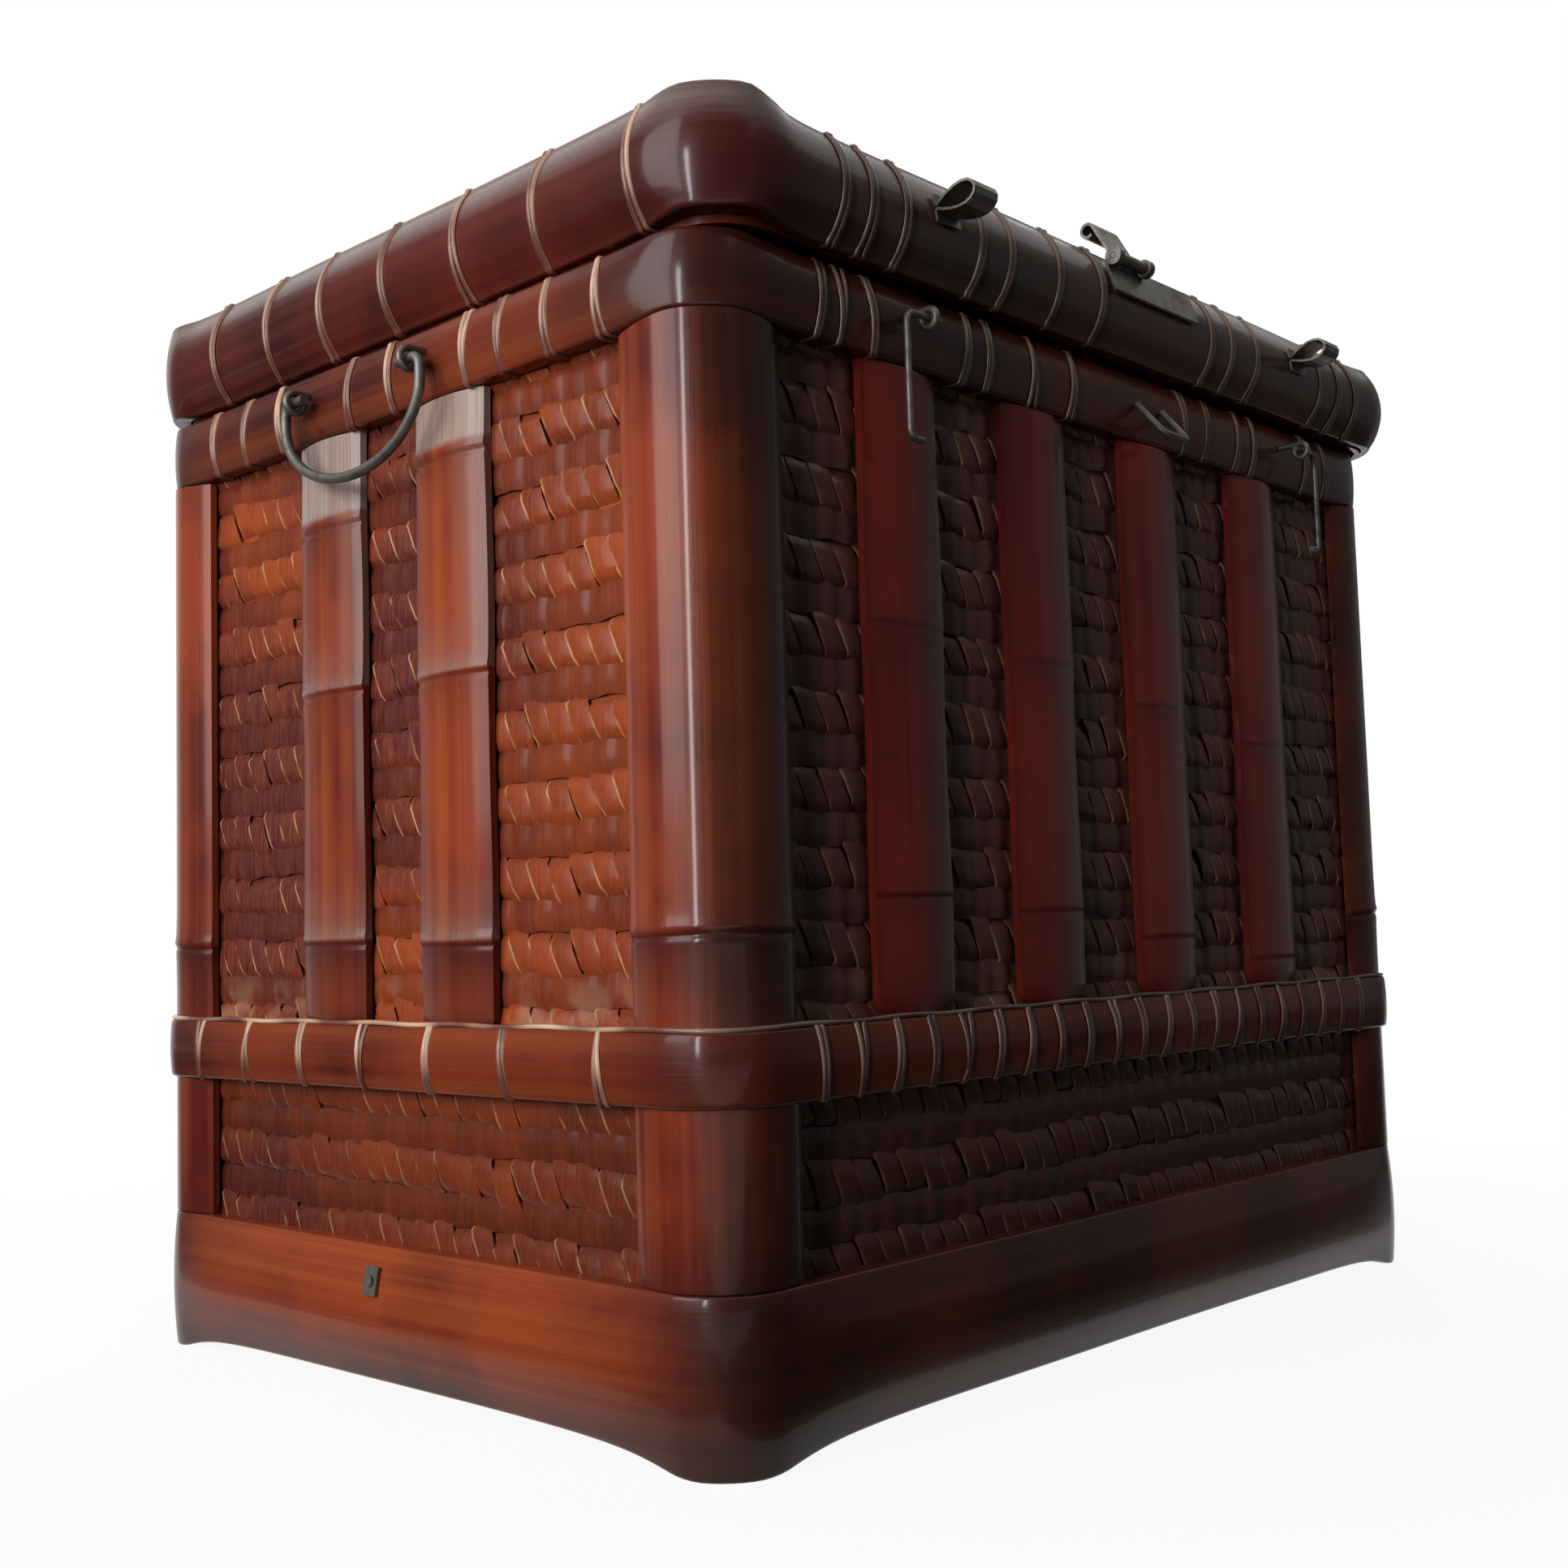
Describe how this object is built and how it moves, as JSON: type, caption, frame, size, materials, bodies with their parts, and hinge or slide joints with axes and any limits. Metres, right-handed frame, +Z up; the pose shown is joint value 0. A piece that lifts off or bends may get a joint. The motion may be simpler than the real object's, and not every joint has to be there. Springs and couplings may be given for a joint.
{
  "type": "bamboo chest",
  "caption": "Lacquered woven-bamboo storage chest with bent bamboo bands, corner posts and slats, a hinged lid, drop handles on its ends, hooks and a hasp.",
  "frame": {"origin": "middle of the chest's footprint with its hardware, on the floor", "axes": "+X to the right along the front, +Y to the back, +Z up; the front with the hasp faces -Y"},
  "size_m": [0.525, 0.4217, 0.4737],
  "materials": {
    "woven_bamboo": "satin lacquer",
    "split_bamboo": "glossy lacquer",
    "bent_bamboo": "glossy lacquer",
    "plain_bamboo": "matt",
    "dark_iron": "dull, worn"
  },
  "bodies": {
    "chest": {"woven_body": "woven_bamboo", "floor_panel": "plain_bamboo", "foot_hoop": "plain_bamboo", "inner_collar": "plain_bamboo", "plinth_band": "bent_bamboo", "waist_band": "bent_bamboo", "rim_band": "bent_bamboo", "front_left_post": "split_bamboo", "front_right_post": "split_bamboo", "back_left_post": "split_bamboo", "back_right_post": "split_bamboo", "front_slat_1": "split_bamboo", "front_slat_2": "split_bamboo", "front_slat_3": "split_bamboo", "front_slat_4": "split_bamboo", "back_slat_1": "split_bamboo", "back_slat_2": "split_bamboo", "back_slat_3": "split_bamboo", "back_slat_4": "split_bamboo", "left_slat_1": "split_bamboo", "left_slat_2": "split_bamboo", "right_slat_1": "split_bamboo", "right_slat_2": "split_bamboo", "left_handle_eye_front": "dark_iron", "left_handle_eye_back": "dark_iron", "right_handle_eye_front": "dark_iron", "right_handle_eye_back": "dark_iron", "left_hook_eye": "dark_iron", "right_hook_eye": "dark_iron", "left_hinge_eye": "dark_iron", "right_hinge_eye": "dark_iron", "hasp_staple": "dark_iron", "left_plinth_clip": "dark_iron", "right_plinth_clip": "dark_iron"},
    "lid": {"woven_lid": "woven_bamboo", "lid_band": "bent_bamboo", "lid_slat_1": "split_bamboo", "lid_slat_2": "split_bamboo", "lid_slat_3": "split_bamboo", "lid_slat_4": "split_bamboo", "left_lid_loop": "dark_iron", "right_lid_loop": "dark_iron", "left_hinge_loop": "dark_iron", "right_hinge_loop": "dark_iron", "hasp_leaf": "dark_iron", "hasp_pin": "dark_iron"},
    "tongue": {"hasp_tongue": "dark_iron"},
    "left_handle": {"left_bail": "dark_iron"},
    "right_handle": {"right_bail": "dark_iron"},
    "left_latch": {"left_hook": "dark_iron"},
    "right_latch": {"right_hook": "dark_iron"}
  },
  "joints": [
    {"name": "lid_hinge", "type": "hinge", "parent": "chest", "child": "lid", "pos_m": [0, 0.20579, 0.3999], "axis": [-1, 0, 0], "range_deg": [0, 105]},
    {"name": "hasp_swing", "type": "hinge", "parent": "lid", "child": "tongue", "pos_m": [-0.007, -0.19277, 0.45443], "axis": [1, 0, 0], "range_deg": [0, 200]},
    {"name": "left_bail_swing", "type": "hinge", "parent": "chest", "child": "left_handle", "pos_m": [-0.257, 0.01404, 0.3999], "axis": [0, 1, 0], "range_deg": [-8, 160]},
    {"name": "right_bail_swing", "type": "hinge", "parent": "chest", "child": "right_handle", "pos_m": [0.257, 0.01404, 0.3999], "axis": [0, -1, 0], "range_deg": [-8, 160]},
    {"name": "left_hook_swing", "type": "hinge", "parent": "chest", "child": "left_latch", "pos_m": [-0.143, -0.19021, 0.3999], "axis": [-1, 0, 0], "range_deg": [-10, 165]},
    {"name": "right_hook_swing", "type": "hinge", "parent": "chest", "child": "right_latch", "pos_m": [0.143, -0.19021, 0.3999], "axis": [-1, 0, 0], "range_deg": [-10, 165]}
  ]
}
